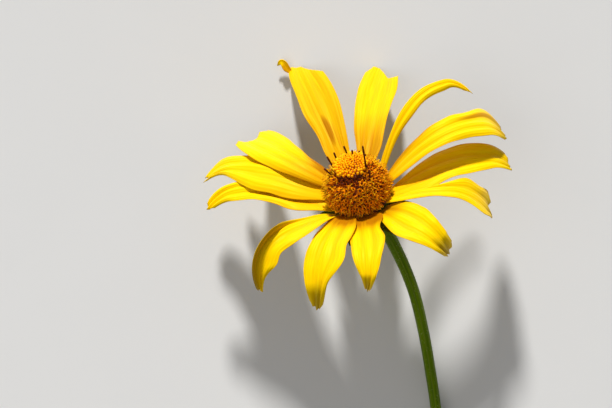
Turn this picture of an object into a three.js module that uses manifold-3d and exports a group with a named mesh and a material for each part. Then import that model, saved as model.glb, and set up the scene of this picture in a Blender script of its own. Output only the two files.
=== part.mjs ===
// A cut false sunflower lying on a table, facing up and away on its three lowest points:
// the tips of two rays on the far side and the cut end of the stem.
// Millimetres, +Z up, X to the right and Y away along the table, origin under the middle of the flower.
import * as THREE from 'three';
import { mergeVertices } from 'three/addons/utils/BufferGeometryUtils.js';
import Module from 'manifold-3d';

const wasm = await Module();
wasm.setup();

// Driving dimensions of the head
const HEAD = new THREE.Vector3(1.2, 31.9, 26.2); // middle of the head's plane, where the rays are rooted
const TILT = 48; // degrees between the head's axis and the vertical
const LEAN = 19; // degrees that the axis leans left of straight away
const DISC_RADIUS = 7.7;
const DISC_HEIGHT = 12.2;
const DISC_BRIM = 4; // height at which the disc is widest
const DISC_FOOT_RADIUS = 6.5;
const DISC_FOOT_HEIGHT = 3.1;
const DISC_CORE_SETBACK = 0.55; // how far the smooth core lies inside the florets' feet
const BUD_CAP_RADIUS = 4.4; // the unopened florets cover the crown out to here
const FLORET_COUNT = 110;
const FLORET_RADIUS = 0.88;
const FLORET_TAPER = 0.6;
const FLORET_PROUD = 0.8;
const BUD_PROUD = 0.45;
const FLORET_SINK = 0.9;
const GAP = 0.3; // clearance between neighbouring pieces

// Driving dimensions of the green parts
const CUP_RADIUS = 6.5;
const CUP_DEPTH = 4.8;
const BRACT_COUNT = 10; // in each of the two rows
const BRACT_THICKNESS = 0.7;
const BRACT_STEPS = 4;
const BRACT_POINT = 0.24; // width left at the tip
const BRACT_KEEL = 0.12; // rise of a bract's edges over its middle, as a share of its half width
// root and height place a bract on the cup's side; it leaves at one angle and ends at the other
const INNER_BRACT = { root: 5, height: -1.15, length: 8.2, width: 3.6, rise: 2, fall: -14 };
const OUTER_BRACT = { root: 4.2, height: -2.35, length: 10.5, width: 4, rise: -8, fall: -34 };
// one bract of each row stays short; its place is counted from the right
const STUNTED_INNER = { ...INNER_BRACT, length: 4, place: 7 };
const STUNTED_OUTER = { ...OUTER_BRACT, length: 7, place: 6 };
const STEM_RADIUS = 1.3;
const STEM_TOP_RADIUS = 1.75;
const STEM_SIDES = 10;
const STEM_STEPS = 40;
// the stem's course from the middle of the head's plane, after it has left the cup
const STEM_COURSE = [
  [5.2, -6.6, -8.6],
  [9.6, -14, -13.6],
  [13.1, -22.4, -17.2],
  [15.6, -32.2, -20],
  [17.4, -42, -22],
  [18.9, -51.8, -23.2],
  [21.4, -74, -24.5],
  [24, -97.5, -24.9],
];

// Rays, the yellow petals: each is a pleated blade on a curved midrib
const ROOT_RADIUS = 7.1;
const RAY_THICKNESS = 0.65;
const RAY_STEPS = 12;
const RAY_RIBS = 7; // lines of points across a blade, on its ribs and in its furrows
const PLEAT = 0.17; // half the height of a rib over a furrow
const ROOT_SPREAD = 1; // widest root, as a share of the plain outline
const HOOK_START = 0.8; // share of the length past which a tip bends into its hook
const PLAIN_RAY = {
  widest: 0.55, // share of the length at which the blade is widest
  claw: 0.22, // width at the root, as a share of the widest
  end: 0.3, // width at the tip, as a share of the widest
  twist: [0, 0, 0], // degrees of roll about the midrib at the root, half-way and at the tip
  cup: [10, 10], // degrees that the right and left half are raised, seen from the root
  ends: [1.9, 0.7, 1.4, 0, 1.4, 0.7, 1.9], // how far short of the tip each rib ends
  hook: [0, 0, 0], // reach of the bent tip
  // how far each edge stands out at even stations from root to tip, as a share of the plain outline
  right: [1, 1, 1, 1, 1, 1],
  left: [1, 1, 1, 1, 1, 1],
};
// turn: degrees round the head's axis, seat: height of the root over the head's plane,
// half and tip: points of the midrib from the middle of the head's plane
const RAYS = [
  {
    turn: 98, seat: 0.6, half: [-8.4, 19.4, -12.2], tip: [-14.7, 33.2, -25.38], width: 9.6,
    widest: 0.75, end: 0.66, ends: [4.4, 3.2, 1.2, 0, -0.6, -0.9, 0.2],
    right: [0.8, 0.8, 0.91, 1.04, 1.04, 1], left: [1, 1.12, 0.89, 1, 0.91, 1.05],
  },
  {
    turn: 74, seat: 1.2, half: [2.6, 19.4, -12.5], tip: [6.3, 32.5, -24.58], width: 9.8, widest: 0.85,
    end: 0.9, ends: [3, 3.4, 2.9, 1.2, -0.7, -0.9, 1], right: [1.2, 1.34, 1.05, 0.94, 1, 0.9],
    left: [0.8, 0.65, 0.94, 1.05, 1.06, 1.02],
  },
  {
    turn: 37, seat: 0.7, half: [12.1, 24.1, -3.5], tip: [26.5, 29.1, -8], width: 5, widest: 0.6,
    end: 0.2, cup: [-35, -35], hook: [0.7, -2.6, 0], right: [1.1, 0.96, 1.06, 0.86, 1, 1],
    left: [0.8, 0.25, 0.4, 0.5, 0.35, 1.1],
  },
  {
    turn: 16, seat: 1.2, half: [19.6, 16.05, 3.4], tip: [34.8, 18, -4], width: 8.6, widest: 0.72,
    twist: [0, -20, -10], hook: [0.5, -2.6, 0], right: [1.5, 1.25, 0.91, 0.9, 1.28, 2.1],
    left: [1.1, 0.91, 0.94, 0.89, 1.08, 2.1],
  },
  {
    turn: 0, seat: 0.6, half: [21.4, 8.75, 0.9], tip: [35.8, 9.5, -6], width: 9.4, widest: 0.65,
    twist: [0, -20, -10], hook: [0.3, -1.7, 0], right: [1.8, 1.5, 1.12, 0.93, 0.86, 0.88],
    left: [1, 0.78, 0.92, 1, 1.06, 1.52],
  },
  {
    turn: -18, seat: 1.7, half: [21.9, 2.6, 7], tip: [31, -3.8, 0], width: 8, widest: 0.65, end: 0.4,
    right: [1.5, 1.65, 1.13, 0.82, 1.34, 0.75], left: [1, 0.3, 0.52, 0.96, 1.19, 2.3],
  },
  {
    turn: -58, seat: 0.1, half: [13, -6.2, 15], tip: [20, -12.7, 15], width: 8.5, widest: 0.5,
    end: 0.45, hook: [0.2, 0, -3], right: [1.5, 1.36, 1.4, 1.05, 0.79, 0.57],
    left: [1.7, 1.44, 1.18, 0.96, 1, 1.25],
  },
  {
    turn: -92, seat: 1.1, half: [1.2, -11.7, 18], tip: [0.9, -21.1, 20], width: 8.8, widest: 0.38,
    end: 0.2, hook: [0, -0.2, -3.4], right: [2.2, 1.2, 0.98, 0.94, 0.83, 0.7],
    left: [2.2, 0.82, 0.95, 0.8, 0.78, 0.6],
  },
  {
    turn: -130, seat: 1.5, half: [-8.8, -12.2, 15.5], tip: [-10.9, -25.6, 17], width: 9.4, widest: 0.5,
    ends: [1.5, 0.6, 0.5, 0, 0.4, 0.6, 1.6], hook: [0, -0.2, -3.4],
    right: [1.5, 0.96, 0.93, 1.03, 1, 0.86], left: [1.6, 1.4, 1.05, 1.21, 0.63, 0.78],
  },
  {
    turn: -156, seat: 0.2, half: [-21, -8.6, 13], tip: [-24.4, -21, 13], width: 8.6, widest: 0.6,
    end: 0.25, twist: [-20, 35, 40], cup: [40, 15], ends: [1.9, 1.2, 0.8, 0.2, 0, 0.2, 0.6],
    hook: [0.6, -0.8, -2], right: [0.8, 0.33, 0.39, 0.4, 0.65, 0.72],
    left: [1.5, 1.8, 1.34, 0.98, 1.09, 0.3],
  },
  {
    turn: 178, seat: 0, half: [-22.4, 3, -3.9], tip: [-37.5, 0, -8], width: 9.6, widest: 0.45,
    twist: [0, 10, 10], cup: [-6, 10], hook: [0, -2.4, 0], right: [1, 1, 1, 0.8, 0.71, 1],
    left: [1.3, 1.37, 0.99, 0.85, 0.91, 0.76],
  },
  {
    turn: 154, seat: 1.25, half: [-22.2, 7.6, -5.4], tip: [-38.3, 6.8, -15], width: 9.8, widest: 0.5,
    end: 0.1, cup: [-4, 6], ends: [1.6, 0, 1, 1.6, 1, 0, 1.6], hook: [-0.3, -2.6, 0],
    right: [1.2, 1.2, 1.1, 1.1, 1.27, 2.9], left: [1.4, 1.55, 1.37, 1.32, 0.87, 0.25],
  },
  {
    turn: 131, seat: 1.4, half: [-16.8, 9.9, -4.6], tip: [-29.1, 15.6, -20], width: 9.8, widest: 0.85,
    end: 0.8, cup: [10, -4], ends: [2.2, 1.5, 2.6, 3.6, 2.4, 1.4, 2],
    right: [1, 1.05, 0.85, 0.95, 1.22, 1.25], left: [0.85, 0.95, 1, 1, 1.06, 0.78],
  },
];

const GOLDEN_ANGLE = Math.PI * (3 - Math.sqrt(5));
const HEAD_AXIS = new THREE.Vector3(0, 0, 1); // in the head's own frame

const petalYellow = new THREE.MeshStandardMaterial({ color: 0xfbe405, roughness: 0.55, metalness: 0 });
const discOrange = new THREE.MeshStandardMaterial({ color: 0xb8620c, roughness: 0.75, metalness: 0 });
const bractGreen = new THREE.MeshStandardMaterial({ color: 0x46581c, roughness: 0.8, metalness: 0 });
const stemGreen = new THREE.MeshStandardMaterial({ color: 0x5f7320, roughness: 0.7, metalness: 0 });

// The head's own frame: Z is its axis, X runs to the right and Y to the far side
function headTurn() {
  const tilt = THREE.MathUtils.degToRad(TILT);
  const lean = THREE.MathUtils.degToRad(LEAN);
  const axis = new THREE.Vector3(
    -Math.sin(lean) * Math.sin(tilt), Math.cos(lean) * Math.sin(tilt), Math.cos(tilt));
  const side = new THREE.Vector3(Math.cos(lean), Math.sin(lean), 0);
  const back = new THREE.Vector3().crossVectors(axis, side);
  return new THREE.Quaternion().setFromRotationMatrix(new THREE.Matrix4().makeBasis(side, back, axis));
}

const HEAD_TURN = headTurn();

function fromHeadFrame(x, y, z) {
  return new THREE.Vector3(x, y, z).applyQuaternion(HEAD_TURN);
}

// A closed body from rings of points, one ring inside the next, with both ends filled
function loft(rings) {
  const count = rings[0].length;
  const positions = rings.flat().flatMap((p) => [p.x, p.y, p.z]);
  const middles = [rings[0], rings.at(-1)].map((ring) =>
    ring.reduce((sum, p) => sum.add(p), new THREE.Vector3()).divideScalar(count));
  middles.forEach((p) => positions.push(p.x, p.y, p.z));
  const first = rings.length * count;
  const faces = [];
  for (let j = 0; j < count; j += 1) {
    const k = (j + 1) % count;
    for (let i = 0; i + 1 < rings.length; i += 1) {
      const [a, b, c, d] = [i * count + j, i * count + k, (i + 1) * count + k, (i + 1) * count + j];
      faces.push(a, b, c, a, c, d);
    }
    const last = (rings.length - 1) * count;
    faces.push(first, k, j, first + 1, last + j, last + k);
  }
  return closed(positions, faces);
}

function closed(positions, faces) {
  const geometry = new THREE.BufferGeometry();
  geometry.setAttribute('position', new THREE.Float32BufferAttribute(positions, 3));
  geometry.setIndex(faces);
  return geometry;
}

// A blade of even thickness from a grid of points on its middle surface, rows from root to tip
function blade(grid, thickness) {
  const rows = grid.length;
  const columns = grid[0].length;
  const at = (i, j) => grid[Math.min(rows - 1, Math.max(0, i))][Math.min(columns - 1, Math.max(0, j))];
  const positions = [];
  for (const side of [0.5, -0.5]) {
    for (let i = 0; i < rows; i += 1) {
      for (let j = 0; j < columns; j += 1) {
        const along = new THREE.Vector3().subVectors(at(i + 1, j), at(i - 1, j));
        const across = new THREE.Vector3().subVectors(at(i, j + 1), at(i, j - 1));
        const normal = across.cross(along).normalize().negate();
        const p = at(i, j).clone().addScaledVector(normal, side * thickness);
        positions.push(p.x, p.y, p.z);
      }
    }
  }
  const under = rows * columns;
  const faces = [];
  const quad = (a, b, c, d) => faces.push(a, b, c, a, c, d);
  for (let i = 0; i + 1 < rows; i += 1) {
    for (let j = 0; j + 1 < columns; j += 1) {
      const a = i * columns + j;
      const [b, c, d] = [a + columns, a + columns + 1, a + 1];
      quad(a, b, c, d);
      faces.push(under + a, under + c, under + b, under + a, under + d, under + c);
    }
  }
  const rim = [];
  for (let j = 0; j + 1 < columns; j += 1) rim.push(j);
  for (let i = 0; i + 1 < rows; i += 1) rim.push(i * columns + columns - 1);
  for (let j = columns - 1; j > 0; j -= 1) rim.push((rows - 1) * columns + j);
  for (let i = rows - 1; i > 0; i -= 1) rim.push(i * columns);
  rim.forEach((a, n) => {
    const b = rim[(n + 1) % rim.length];
    quad(a, b, under + b, under + a);
  });
  return closed(positions, faces);
}

function solid(geometry) {
  const plain = geometry.clone();
  plain.deleteAttribute('normal');
  plain.deleteAttribute('uv');
  const merged = mergeVertices(plain, 1e-4);
  return new wasm.Manifold(new wasm.Mesh({
    numProp: 3,
    vertProperties: new Float32Array(merged.attributes.position.array),
    triVerts: new Uint32Array(merged.index.array),
  }));
}

function joined(geometries) {
  const whole = geometries.map(solid).reduce((sum, piece) => sum.add(piece));
  const mesh = whole.getMesh();
  return closed(Array.from(mesh.vertProperties), Array.from(mesh.triVerts));
}

// Midrib of a ray: a parabola through its root, half-way point and tip, whose last stretch bends to its
// hook, with a frame that is carried along it without spinning and then rolled by the ray's twist
function midrib(ray, samples, reach) {
  const turn = THREE.MathUtils.degToRad(ray.turn);
  const root = fromHeadFrame(ROOT_RADIUS * Math.cos(turn), ROOT_RADIUS * Math.sin(turn), ray.seat);
  const half = new THREE.Vector3(...ray.half);
  const tip = new THREE.Vector3(...ray.tip);
  const hook = new THREE.Vector3(...ray.hook);
  const control = half.clone().multiplyScalar(2).addScaledVector(root, -0.5).addScaledVector(tip, -0.5);
  const curve = new THREE.QuadraticBezierCurve3(root, control, tip);
  const pointAt = (t) => curve.getPoint(t)
    .addScaledVector(hook, (Math.max(0, t - HOOK_START) / (1 - HOOK_START)) ** 2);
  const face = fromHeadFrame(0, 0, 1);
  const stations = [];
  const step = reach / samples;
  for (let i = 0; i <= samples; i += 1) {
    const t = step * i;
    const along = pointAt(t + step).sub(pointAt(t - step)).normalize();
    face.addScaledVector(along, -face.dot(along)).normalize();
    const roll = THREE.MathUtils.degToRad(
      ray.twist[0] * (1 - t) ** 2 + ray.twist[1] * 2 * t * (1 - t) + ray.twist[2] * t * t);
    const side = new THREE.Vector3().crossVectors(face, along).applyAxisAngle(along, -roll);
    const up = face.clone().applyAxisAngle(along, -roll);
    stations.push({ point: pointAt(t), side, up });
  }
  return { stations, length: curve.getLength() };
}

// A smooth curve through evenly spaced values, read a share of the way along them; the first one is kept
// low, because the roots of neighbours need room beside each other
function through(values, share) {
  const curve = new THREE.SplineCurve(values.map((value, i) => (
    new THREE.Vector2(i, i === 0 ? Math.min(value, ROOT_SPREAD) : value))));
  return curve.getPoint(Math.min(1, share)).y;
}

function widthShare(ray, s) {
  if (s < ray.widest) return ray.claw + (1 - ray.claw) * (1 - (1 - s / ray.widest) ** 2.2);
  return 1 - (1 - ray.end) * ((Math.min(s, 1) - ray.widest) / (1 - ray.widest)) ** 2;
}

function rayGeometry(ray) {
  const samples = 120;
  const reach = 1.1; // the midrib is sampled a little past the tip, for ribs that end beyond it
  const { stations, length } = midrib(ray, samples, reach);
  const grid = [];
  for (let i = 0; i <= RAY_STEPS; i += 1) {
    const row = [];
    for (let j = 0; j < RAY_RIBS; j += 1) {
      const t = (2 * j) / (RAY_RIBS - 1) - 1;
      const s = (i / RAY_STEPS) * (1 - ray.ends[j] / length);
      const station = stations[Math.round((s / reach) * samples)];
      const half = (ray.width / 2) * widthShare(ray, s) * through(t < 0 ? ray.right : ray.left, s);
      const lift = THREE.MathUtils.degToRad(ray.cup[t < 0 ? 0 : 1]) * Math.abs(t);
      const ripple = PLEAT * Math.cos(3 * Math.PI * t) * Math.min(1, 3 * s);
      row.push(station.point.clone()
        .addScaledVector(station.side, half * t * Math.cos(lift))
        .addScaledVector(station.up, half * Math.abs(t) * Math.sin(lift) + ripple));
    }
    grid.push(row);
  }
  return blade(grid, RAY_THICKNESS);
}

// Outline of the disc's dome, radius and height for a share of the way from its brim to its crown
function dome(share) {
  const angle = (share * Math.PI) / 2;
  return [
    DISC_RADIUS * Math.cos(angle) ** 0.8,
    DISC_BRIM + (DISC_HEIGHT - DISC_BRIM) * Math.sin(angle) ** 1.15,
  ];
}

// Share of the way up the dome at which a given part of its area lies below, so that florets stand evenly
function shareForArea(part) {
  const steps = 60;
  const areas = [0];
  for (let i = 1; i <= steps; i += 1) {
    const [r1, h1] = dome((i - 1) / steps);
    const [r2, h2] = dome(i / steps);
    areas.push(areas[i - 1] + (r1 + r2) * Math.hypot(r2 - r1, h2 - h1));
  }
  const wanted = part * areas[steps];
  const i = areas.findIndex((area) => area >= wanted);
  return (i - (areas[i] - wanted) / (areas[i] - areas[i - 1])) / steps;
}

function discGeometry() {
  const steps = 7;
  const profile = [[0, 0], [DISC_FOOT_RADIUS, 0], [DISC_FOOT_RADIUS, DISC_FOOT_HEIGHT]];
  for (let i = 0; i < steps; i += 1) {
    const [r, h] = dome(i / steps);
    profile.push([r - DISC_CORE_SETBACK, h - DISC_CORE_SETBACK * (i / steps)]);
  }
  profile.push([0, DISC_HEIGHT - DISC_CORE_SETBACK]);
  const points = profile.map(([r, h]) => new THREE.Vector2(r, h));
  const pieces = [new THREE.LatheGeometry(points, 15).rotateX(Math.PI / 2)];
  for (let n = 0; n < FLORET_COUNT; n += 1) pieces.push(floretGeometry(n));
  return joined(pieces);
}

// One floret, standing square to the dome: an open one on its flank or a short bud on its crown
function floretGeometry(n) {
  const share = shareForArea((n + 0.5) / FLORET_COUNT);
  const [r, h] = dome(share);
  const [r2, h2] = dome(share + 0.005);
  const turn = n * GOLDEN_ANGLE;
  const proud = r < BUD_CAP_RADIUS ? BUD_PROUD : FLORET_PROUD;
  const slope = Math.atan2(r - r2, h2 - h);
  const out = new THREE.Vector3(Math.cos(slope), 0, Math.sin(slope)).applyAxisAngle(HEAD_AXIS, turn);
  const foot = new THREE.Vector3(r, 0, h).applyAxisAngle(HEAD_AXIS, turn);
  const length = proud + FLORET_SINK;
  const floret = new THREE.CylinderGeometry(FLORET_RADIUS * FLORET_TAPER, FLORET_RADIUS, length, 5);
  floret.translate(0, (proud - FLORET_SINK) / 2, 0);
  const stand = new THREE.Quaternion().setFromUnitVectors(new THREE.Vector3(0, 1, 0), out);
  return floret.applyQuaternion(stand).translate(foot.x, foot.y, foot.z);
}

function involucreGeometry() {
  const bottom = -GAP - CUP_DEPTH;
  const profile = [[0, 0], [STEM_TOP_RADIUS + 0.1, 0], [CUP_RADIUS - 4, 0.7], [CUP_RADIUS - 2.2, 1.8],
    [CUP_RADIUS - 0.6, 3.2], [CUP_RADIUS, 4.3], [CUP_RADIUS - 0.3, CUP_DEPTH], [0, CUP_DEPTH]];
  const points = profile.map(([r, h]) => new THREE.Vector2(r, bottom + h));
  const pieces = [new THREE.LatheGeometry(points, 16).rotateX(Math.PI / 2)];
  for (let n = 0; n < BRACT_COUNT; n += 1) {
    const turn = (2 * Math.PI * n) / BRACT_COUNT;
    pieces.push(bractGeometry(turn, n === STUNTED_INNER.place ? STUNTED_INNER : INNER_BRACT));
    const between = turn + Math.PI / BRACT_COUNT;
    pieces.push(bractGeometry(between, n === STUNTED_OUTER.place ? STUNTED_OUTER : OUTER_BRACT));
  }
  return joined(pieces);
}

// A pointed leafy bract that springs from the cup's side, with a keel along its middle
function bractGeometry(turn, bract) {
  const grid = [];
  let r = bract.root;
  let h = bract.height;
  for (let i = 0; i <= BRACT_STEPS; i += 1) {
    const s = i / BRACT_STEPS;
    const half = (bract.width / 2) * (0.7 + 0.9 * s) * (1 - s ** 2.4) + BRACT_POINT / 2;
    const row = [-1, 0, 1].map((t) => new THREE.Vector3(r, half * t, h + BRACT_KEEL * half * Math.abs(t)));
    grid.push(row.map((p) => p.applyAxisAngle(HEAD_AXIS, turn)));
    const slope = THREE.MathUtils.degToRad(bract.rise + (bract.fall - bract.rise) * s);
    r += (bract.length / BRACT_STEPS) * Math.cos(slope);
    h += (bract.length / BRACT_STEPS) * Math.sin(slope);
  }
  return blade(grid, BRACT_THICKNESS);
}

// The stem leaves the cup square to it, bends down to the table and thins on the way
function stemGeometry() {
  const top = -2 * GAP - CUP_DEPTH;
  const course = [fromHeadFrame(0, 0, top), fromHeadFrame(0.1, 0, top - 1.4),
    ...STEM_COURSE.map((p) => new THREE.Vector3(...p))];
  const curve = new THREE.CatmullRomCurve3(course, false, 'centripetal');
  const frames = curve.computeFrenetFrames(STEM_STEPS, false);
  const rings = [];
  for (let i = 0; i <= STEM_STEPS; i += 1) {
    const s = i / STEM_STEPS;
    const centre = curve.getPointAt(s);
    const radius = STEM_RADIUS + (STEM_TOP_RADIUS - STEM_RADIUS) * (1 - s) ** 6;
    const ring = [];
    for (let j = 0; j < STEM_SIDES; j += 1) {
      const angle = (2 * Math.PI * j) / STEM_SIDES;
      ring.push(centre.clone()
        .addScaledVector(frames.normals[i], radius * Math.cos(angle))
        .addScaledVector(frames.binormals[i], radius * Math.sin(angle)));
    }
    rings.push(ring);
  }
  return loft(rings);
}

function mesh(name, geometry, material) {
  const piece = new THREE.Mesh(geometry, material.clone());
  piece.name = name;
  return piece;
}

const flower = new THREE.Group();
const head = new THREE.Group();
head.position.copy(HEAD);
flower.add(head);

const crown = new THREE.Group();
crown.quaternion.copy(HEAD_TURN);
crown.add(mesh('disc', discGeometry(), discOrange));
crown.add(mesh('involucre', involucreGeometry(), bractGreen));
head.add(crown);

head.add(mesh('stem', stemGeometry(), stemGreen));
RAYS.forEach((ray, n) => {
  const name = `ray_petal_${String(n + 1).padStart(2, '0')}`;
  head.add(mesh(name, rayGeometry({ ...PLAIN_RAY, ...ray }), petalYellow));
});

export default flower;
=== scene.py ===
"""Looks of a cut false sunflower that lies on a table, built round its fixed frame.

Thirteen pleated yellow rays, a domed disc of orange florets, two rows of green bracts and a
bent, hairy stem. Lengths in the shape functions are millimetres, and the finished pieces are
metres, as the frame is.
"""

import math
import random

import bpy
import numpy as np
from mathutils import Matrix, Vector


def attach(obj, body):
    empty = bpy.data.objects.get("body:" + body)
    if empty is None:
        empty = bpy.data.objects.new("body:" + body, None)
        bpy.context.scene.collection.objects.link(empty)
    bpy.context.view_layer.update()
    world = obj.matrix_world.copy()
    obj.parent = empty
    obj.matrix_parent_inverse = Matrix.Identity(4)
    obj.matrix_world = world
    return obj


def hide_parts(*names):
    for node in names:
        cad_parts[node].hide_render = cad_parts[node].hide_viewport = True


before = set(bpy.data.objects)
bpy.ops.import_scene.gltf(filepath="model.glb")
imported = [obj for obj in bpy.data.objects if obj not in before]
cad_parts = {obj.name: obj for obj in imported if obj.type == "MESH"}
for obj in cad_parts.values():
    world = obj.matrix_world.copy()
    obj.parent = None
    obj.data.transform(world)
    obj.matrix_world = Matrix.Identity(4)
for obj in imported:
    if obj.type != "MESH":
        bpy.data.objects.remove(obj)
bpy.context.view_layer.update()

bl_info = {
    "name": "Cut false sunflower",
    "version": (1, 0, 0),
    "blender": (4, 5, 0),
    "location": "3D View > Sidebar > Flower",
    "description": "Rays, florets, bracts, stem and stage of a cut false sunflower",
    "category": "Object",
}

MM = 0.001

# Range of the random shifts that set the waves of rays and bracts apart
SHIFTS = (0, 6)

# The head: its middle, its tilt from the vertical and its lean to the left of straight away
HEAD = np.array([1.2, 31.9, 26.2])
TILT = math.radians(48)
LEAN = math.radians(19)
HEAD_SIDE = np.array([math.cos(LEAN), math.sin(LEAN), 0.0])
HEAD_AXIS = np.array([-math.sin(LEAN) * math.sin(TILT), math.cos(LEAN) * math.sin(TILT), math.cos(TILT)])
HEAD_BACK = np.cross(HEAD_AXIS, HEAD_SIDE)
GOLDEN_ANGLE = math.pi * (3 - math.sqrt(5))

# The disc's dome
DISC_RADIUS = 7.7
DISC_HEIGHT = 12.2
DISC_BRIM = 4.0
DISC_FOOT_RADIUS = 6.5
DOME_SHOULDER = 0.8
DOME_SLOPE = 1.15

# The disc's stages: buds on a raised mound, larger ones round its edge; a dark ring of florets
# that have just opened, widened to a hollow that faces HOLLOW_TURN and reaches as far to both
# sides as the cosine says, where the ring's dark florets are carried on as painted shadow of the
# mound; and ripe florets below, golden on the far side as painted light where the key light falls
BUD_CAP_RADIUS = 4.0
EDGE_BUD_RADIUS = 3.2
MOUND_RISE = 1.3
RING_RADIUS = 4.4
HOLLOW_RADIUS = 5.5
HOLLOW_TURN = math.radians(-112)
HOLLOW_COSINE = 0.78
RIM_RADIUS = 4.6
SUNNY_SIDE = -0.5

# A few long anther tubes: degrees round the axis, distance from it, and the way from foot to tip
LONG_ANTHERS = [
    (88, 2.8, (-0.9, 2.0, 1.9)),
    (120, 5.2, (-0.9, 2.1, 1.9)),
    (154, 4.5, (-1.6, 2.7, 2.5)),
    (178, 5.0, (-1.9, 1.6, 1.6)),
    (58, 2.3, (-0.1, 1.0, 1.0)),
    (326, 3.9, (-0.9, 4.9, 4.7)),
    (304, 5.6, (-0.1, 2.1, 2.0)),
]

# The stem: it leaves the cup straight, follows its course, given from the middle of the head, and
# has no hair lower than its clearance, in hair lengths. The rings of its cut face have a radius,
# as a share of the stem's, and a height
STEM_RADIUS = 1.3
STEM_TOP_RADIUS = 1.75
STEM_STEPS = 260
STEM_SIDES = 48
STEM_RIBS = 8.0
STEM_STRAIGHT = 1.4
STEM_TAPER = 6
HAIR_CLEARANCE = 1.4
STEM_COURSE = [
    (5.2, -6.6, -8.6),
    (9.6, -14, -13.6),
    (13.1, -22.4, -17.2),
    (15.6, -32.2, -20),
    (17.4, -42, -22),
    (18.9, -51.8, -23.2),
    (21.4, -74, -24.5),
    (24, -97.5, -24.9),
]
CUT_RINGS = [
    (1.01, -0.4), (1.01, 0.0), (0.97, 0.07), (0.86, 0.09), (0.72, 0.02), (0.4, -0.08), (0.15, -0.1)]
CUT_SIDES = 32

# The green cup, and two rows of bracts that spring from it. offset: share of a step round the
# head; root and height: where a bract starts; rise and fall: its slope at root and tip in degrees;
# stunted and short: which bract of the row stayed short, and how long it is
GAP = 0.3
CUP_RADIUS = 6.5
CUP_DEPTH = 4.8
CUP_SIDES = 60
CUP_FLANK = [
    (STEM_TOP_RADIUS + 0.1, 0), (2.5, 0.7), (4.3, 1.8), (5.9, 3.2), (CUP_RADIUS, 4.3), (6.2, CUP_DEPTH)]
BRACT_COUNT = 10
BRACT_POINT = 0.24
BRACT_THICKNESS = 0.4
BRACT_KEEL = 0.12
BRACT_WAVE = 0.16
BRACT_ROWS = [
    dict(offset=0, root=5, height=-1.15, length=8.2, width=3.6, rise=2, fall=-14, stunted=7, short=4),
    dict(offset=0.5, root=4.2, height=-2.35, length=10.5, width=4, rise=-8, fall=-34, stunted=6, short=7),
]

# The stage. Its lengths and places are metres, apart from the camera's, which is millimetres from
# the head's middle
FLOOR_DROP = -0.0001
KEY_FROM = (-0.1, 0.85, 0.4)
FILL_PLACE = (-0.5, -0.3, 1.0)
FILL_SIZE = 0.8
CAMERA_PLACE = (-13.44, -0.96, 612)
CAMERA_LENS = 150
CAMERA_SENSOR = 36

# The torn scrap at the first ray's tip: its course from the ray's left corner, half widths to the
# right and left of it, how far its edges curl up, and its spots
SCRAP_COURSE = [
    (0.9, -0.2, -0.1),
    (-0.1, 1.0, 0.1),
    (-1.0, 2.2, 0.3),
    (-2.0, 2.5, 0.5),
    (-2.8, 1.6, 0.3),
]
SCRAP_RIGHT = [0.4, 0.5, 0.6, 0.6, 0.1]
SCRAP_LEFT = [0.4, 1.2, 1.1, 0.9, 0.1]
SCRAP_CURL = 0.5
SCRAP_SPOTS = dict(brown=((0.3, 0, 0.25, 3, 0.5),), olive=((1, 0, 0.2, 3, 0.6),))

# What all rays share: three pleats; fine veins that sway; edges that wave a number of radians from
# root to tip, with shorter waves that vary them; and a margin and tip that thin out, to a share of
# the thickness and each over one part in so many of the half width or the length. A ray's tip
# bends from the hook's start, and a fold grows from its start to its full width along the ray
ROOT_RADIUS = 7.1
CLAW_CURVE = 2.2
PLEATS = 3
PLEAT = 0.17
VEIN_WAVES = 7
VEIN_SWAY = 0.03
EDGE_WAVES = 11
SHORT_WAVES = 23
THIN_MARGIN = 0.35
EDGE_TAPER = 8
TIP_TAPER = 25
HOOK_START = 0.8
FOLD_WIDTH = 0.12
FOLD_START = 0.2
FOLD_FULL = 0.45
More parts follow.
